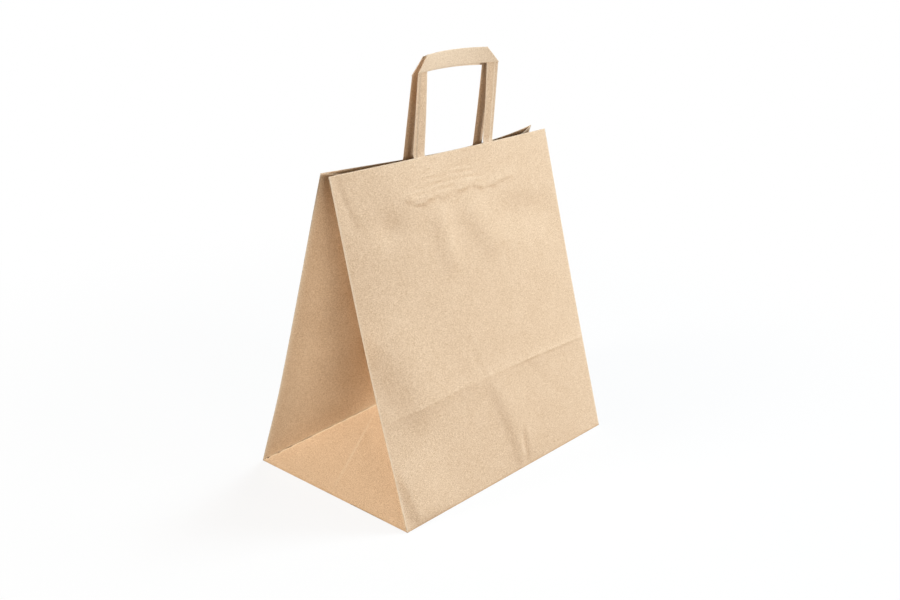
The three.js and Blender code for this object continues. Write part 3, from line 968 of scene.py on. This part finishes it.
def make_floor(studio):
    """A pale floor that looks white to the camera and keeps the bag's soft shadow, which fades far out."""
    size, below = 6, 0.2 * MM
    near, far = 0.2, 0.9
    mesh = bpy.data.meshes.new("floor")
    corners = [(-size, -size), (size, -size), (size, size), (-size, size)]
    mesh.from_pydata([(x, y, -below) for x, y in corners], [], [(0, 1, 2, 3)])
    material = bpy.data.materials.new("floor")
    material.use_nodes = True
    shader = Shader(material.node_tree)
    seen = seen_rays(shader)
    place = shader.add("ShaderNodeTexCoord", output="Object")
    away = shader.add("ShaderNodeVectorMath", {"operation": "LENGTH"}, {0: place}, "Value")
    shaded = shader.add(
        "ShaderNodeMapRange",
        {"interpolation_type": "SMOOTHSTEP"},
        {"Value": away, "From Min": near, "From Max": far, "To Min": studio.shadow, "To Max": 0},
    )
    tint = shader.blend(seen, studio.floor, WHITE)
    plain = shader.add("ShaderNodeBsdfDiffuse", inputs={"Color": tint})
    white = shader.add("ShaderNodeEmission", inputs={"Color": (*WHITE, 1), "Strength": 1})
    surface = shader.add("ShaderNodeMixShader", inputs={0: seen * (1 - shaded), 1: plain, 2: white})
    shader.add("ShaderNodeOutputMaterial", inputs={"Surface": surface})
    mesh.materials.append(material)
    floor = bpy.data.objects.new("floor", mesh)
    bpy.context.scene.collection.objects.link(floor)


def make_sky(scene, studio):
    """Even light from all round, seen by the camera as plain white."""
    scene.world = bpy.data.worlds.new("sky")
    scene.world.use_nodes = True
    shader = Shader(scene.world.node_tree)
    seen = seen_rays(shader)
    tint = shader.blend(seen, studio.sky_colour, WHITE)
    strength = studio.sky_level + seen * (1 - studio.sky_level)
    sky = shader.add("ShaderNodeBackground", inputs={"Color": tint, "Strength": strength})
    shader.add("ShaderNodeOutputWorld", inputs={"Surface": sky})


def direction(azimuth, elevation):
    """Unit direction from the bag: azimuth from the front to the right, elevation above the horizon."""
    flat = math.cos(elevation)
    return Vector((math.sin(azimuth) * flat, -math.cos(azimuth) * flat, math.sin(elevation)))


def make_lamp(studio, name):
    """A large square lamp that faces the bag.

    A power of pi squared times the distance squared shows a white sheet that faces it as white, and its level
    is a share of that.
    """
    level, azimuth, elevation, tint = (
        getattr(studio, name + end) for end in ("_level", "_azimuth", "_elevation", "_colour")
    )
    towards = direction(azimuth, elevation)
    light = bpy.data.lights.new(name, "AREA")
    light.energy = level * (math.pi * studio.lamp_distance) ** 2
    light.size = studio.lamp_size
    light.color = tint
    lamp = bpy.data.objects.new(name, light)
    bpy.context.scene.collection.objects.link(lamp)
    lamp.location = Vector((0, 0, studio.lamp_aim)) + towards * studio.lamp_distance
    lamp.rotation_euler = (-towards).to_track_quat("-Z", "Y").to_euler()


def make_camera(studio):
    """The camera at its azimuth, elevation and roll round the target."""
    azimuth, roll = studio.azimuth, studio.roll
    back = direction(azimuth, studio.elevation)
    right = Vector((math.cos(azimuth), math.sin(azimuth), 0))
    up = back.cross(right)
    turned_right = right * math.cos(roll) - up * math.sin(roll)
    turned_up = right * math.sin(roll) + up * math.cos(roll)
    data = bpy.data.cameras.new("camera")
    data.lens = studio.lens
    data.sensor_width = SENSOR_WIDTH
    camera = bpy.data.objects.new("camera", data)
    bpy.context.scene.collection.objects.link(camera)
    turn = Matrix((turned_right, turned_up, back)).transposed().to_4x4()
    camera.matrix_world = Matrix.Translation(Vector(studio.target) + back * studio.distance) @ turn
    return camera


# Operators


class PAPERBAG_OT_sack(bpy.types.Operator):
    """Builds the folded sack with its bottom flaps and its glued seam"""

    bl_idname = "paperbag.sack"
    bl_label = "Build the sack"

    def execute(self, context):
        settings = context.scene.paper_bag
        sack = settings.sack
        paper = paper_material("sack_paper", settings.look)
        body = sack_sheet(sack).build("sack", paper)
        round_folds(body, sack.fold_radius)
        thicken(body, sack.paper, -1)
        flaps = Sheet()
        for side, level in ((FRONT, 0.5 * sack.paper), (BACK, 1.5 * sack.paper)):
            flaps.grid(flap_grid(sack, side, level), side == FRONT)
        bottom = thicken(flaps.build("bottom_flaps", paper), sack.paper, 0)
        seam = Sheet()
        seam.grid(seam_grid(sack), True)
        lap = thicken(seam.build("seam_lap", paper), sack.paper, -1)
        for piece in (body, bottom, lap):
            settle(piece, "bag_body")
        return {"FINISHED"}


class PAPERBAG_OT_handles(bpy.types.Operator):
    """Builds the two strap handles"""

    bl_idname = "paperbag.handles"
    bl_label = "Build the handles"

    def execute(self, context):
        settings = context.scene.paper_bag
        paper = paper_material("strap_paper", settings.look)
        for side, node in ((FRONT, "front_handle"), (BACK, "rear_handle")):
            piece = strap_object(settings, node + "_strap", side, paper)
            settle(piece, node)
        return {"FINISHED"}


class PAPERBAG_OT_patches(bpy.types.Operator):
    """Builds the patches glued over the ends of the straps"""

    bl_idname = "paperbag.patches"
    bl_label = "Build the patches"

    def execute(self, context):
        settings = context.scene.paper_bag
        paper = paper_material("patch_paper", settings.look)
        for side, node in ((FRONT, "front_handle_patch"), (BACK, "rear_handle_patch")):
            sheet = Sheet()
            sheet.grid(patch_grid(settings, side), side == BACK)
            piece = thicken(sheet.build(node + "_paper", paper), settings.patch.paper, 0)
            settle(piece, node)
        return {"FINISHED"}


class PAPERBAG_OT_stage(bpy.types.Operator):
    """Builds the floor, the light and the camera"""

    bl_idname = "paperbag.stage"
    bl_label = "Build the stage"

    def execute(self, context):
        studio = context.scene.paper_bag.studio
        make_floor(studio)
        make_sky(context.scene, studio)
        for name in ("key", "top", "fill", "side"):
            make_lamp(studio, name)
        context.scene.camera = make_camera(studio)
        context.scene.view_settings.view_transform = "Standard"
        return {"FINISHED"}


class PAPERBAG_PT_sidebar(bpy.types.Panel):
    """Lists the bag's operators and settings"""

    bl_idname = "PAPERBAG_PT_sidebar"
    bl_label = "Paper bag"
    bl_space_type = "VIEW_3D"
    bl_region_type = "UI"
    bl_category = "Paper bag"

    def draw(self, context):
        settings = context.scene.paper_bag
        for operator in OPERATORS:
            self.layout.operator(operator.bl_idname)
        for group in (settings.sack, settings.handle, settings.patch, settings.look, settings.studio):
            box = self.layout.box()
            for name in group.__annotations__:
                box.prop(group, name)


GROUPS = (SackSizes, HandleSizes, PatchSizes, PaperLook, StudioLook, BagSettings)
OPERATORS = (PAPERBAG_OT_sack, PAPERBAG_OT_handles, PAPERBAG_OT_patches, PAPERBAG_OT_stage)
CLASSES = (*GROUPS, *OPERATORS, PAPERBAG_PT_sidebar)


def register():
    """Makes the classes and the scene's settings known to Blender."""
    for cls in CLASSES:
        bpy.utils.register_class(cls)
    bpy.types.Scene.paper_bag = PointerProperty(type=BagSettings)


def unregister():
    """Takes the settings and the classes away again."""
    del bpy.types.Scene.paper_bag
    for cls in reversed(CLASSES):
        bpy.utils.unregister_class(cls)


def main():
    register()
    bpy.ops.paperbag.sack()
    bpy.ops.paperbag.handles()
    bpy.ops.paperbag.patches()
    bpy.ops.paperbag.stage()


if __name__ == "__main__":
    main()
